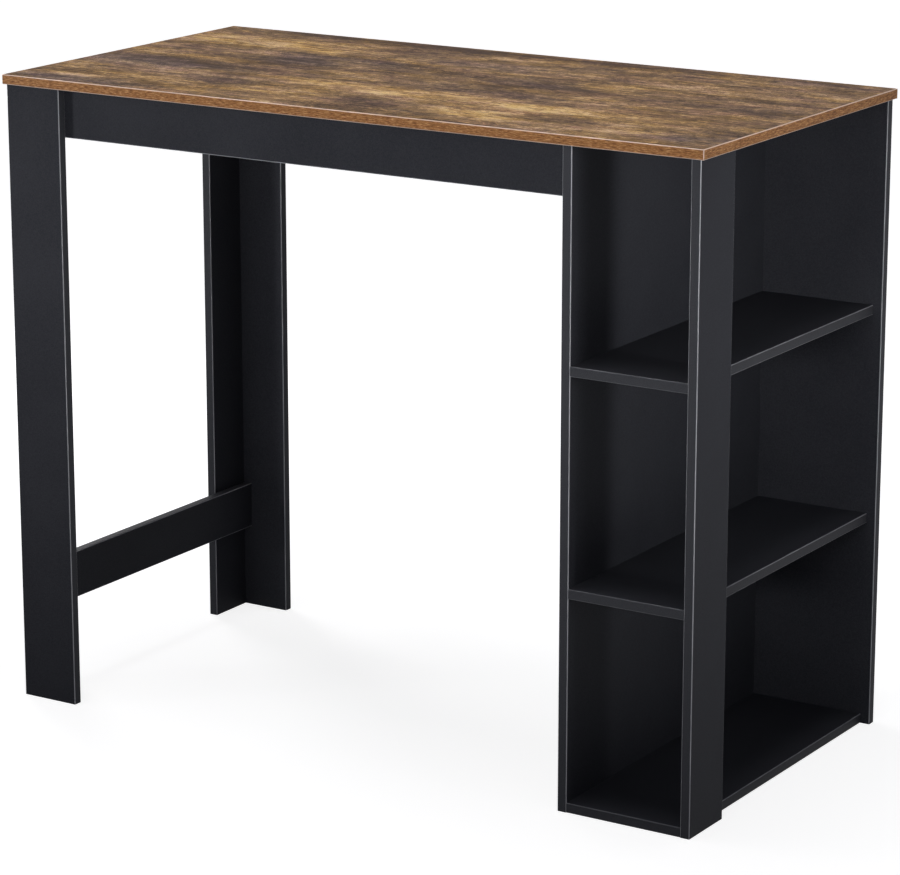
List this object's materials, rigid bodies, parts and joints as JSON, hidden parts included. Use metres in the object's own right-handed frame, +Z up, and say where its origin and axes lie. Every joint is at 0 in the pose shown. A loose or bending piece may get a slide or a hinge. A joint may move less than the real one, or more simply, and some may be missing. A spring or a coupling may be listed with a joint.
{
  "type": "bar counter",
  "caption": "Free-standing bar counter with a long brown worktop on black boards: a leg frame with a foot rail at one end and an open shelf unit at the other.",
  "frame": {"origin": "on the floor, under the middle of the worktop", "axes": "+X along the counter from the leg frame to the shelf unit, +Y from the front to the back, +Z up"},
  "size_m": [1.28, 0.64, 1.05],
  "materials": {
    "wood_print": "melamine-faced chipboard with a weathered brown plank print, low sheen",
    "brown_edge_band": "ABS edge band with a light brown wood print, low sheen",
    "black_melamine": "melamine-faced chipboard in plain charcoal black, fine pearl texture",
    "black_edge_band": "ABS edge band in charcoal black, satin, with softened long edges",
    "beech_dowel": "plain beech",
    "zinc_plated_steel": "bright zinc plating on steel",
    "zinc_casting": "bare zinc die casting",
    "black_cap": "moulded black cover cap, matt"
  },
  "bodies": {
    "root": {"tabletop_board": "wood_print", "tabletop_front_band": "brown_edge_band", "tabletop_rear_band": "brown_edge_band", "tabletop_left_band": "brown_edge_band", "tabletop_right_band": "brown_edge_band", "front_leg_face_board": "black_melamine", "front_leg_side_board": "black_melamine", "rear_leg_face_board": "black_melamine", "rear_leg_side_board": "black_melamine", "front_leg_bands": "black_edge_band", "rear_leg_bands": "black_edge_band", "front_apron": "black_melamine", "rear_apron": "black_melamine", "apron_bands": "black_edge_band", "foot_rail": "black_melamine", "foot_rail_bands": "black_edge_band", "divider_panel": "black_melamine", "divider_front_band": "black_edge_band", "rear_panel": "black_melamine", "rear_panel_bands": "black_edge_band", "corner_post": "black_melamine", "corner_post_bands": "black_edge_band", "upper_shelf": "black_melamine", "lower_shelf": "black_melamine", "base_shelf": "black_melamine", "shelf_front_bands": "black_edge_band", "shelf_side_bands": "black_edge_band", "leg_corner_dowels": "beech_dowel", "foot_rail_dowels": "beech_dowel", "apron_dowels": "beech_dowel", "rear_panel_dowels": "beech_dowel", "shelf_dowels": "beech_dowel", "worktop_dowels": "beech_dowel", "apron_cam_bolts": "zinc_plated_steel", "apron_cam_discs": "zinc_casting", "rear_panel_cam_bolts": "zinc_plated_steel", "rear_panel_cam_discs": "zinc_casting", "shelf_cam_bolts": "zinc_plated_steel", "shelf_cam_discs": "zinc_casting", "angle_brackets": "zinc_plated_steel", "bracket_screws": "zinc_plated_steel", "apron_screws": "zinc_plated_steel", "foot_rail_screws": "zinc_plated_steel", "foot_rail_screw_caps": "black_cap"}
  },
  "joints": []
}
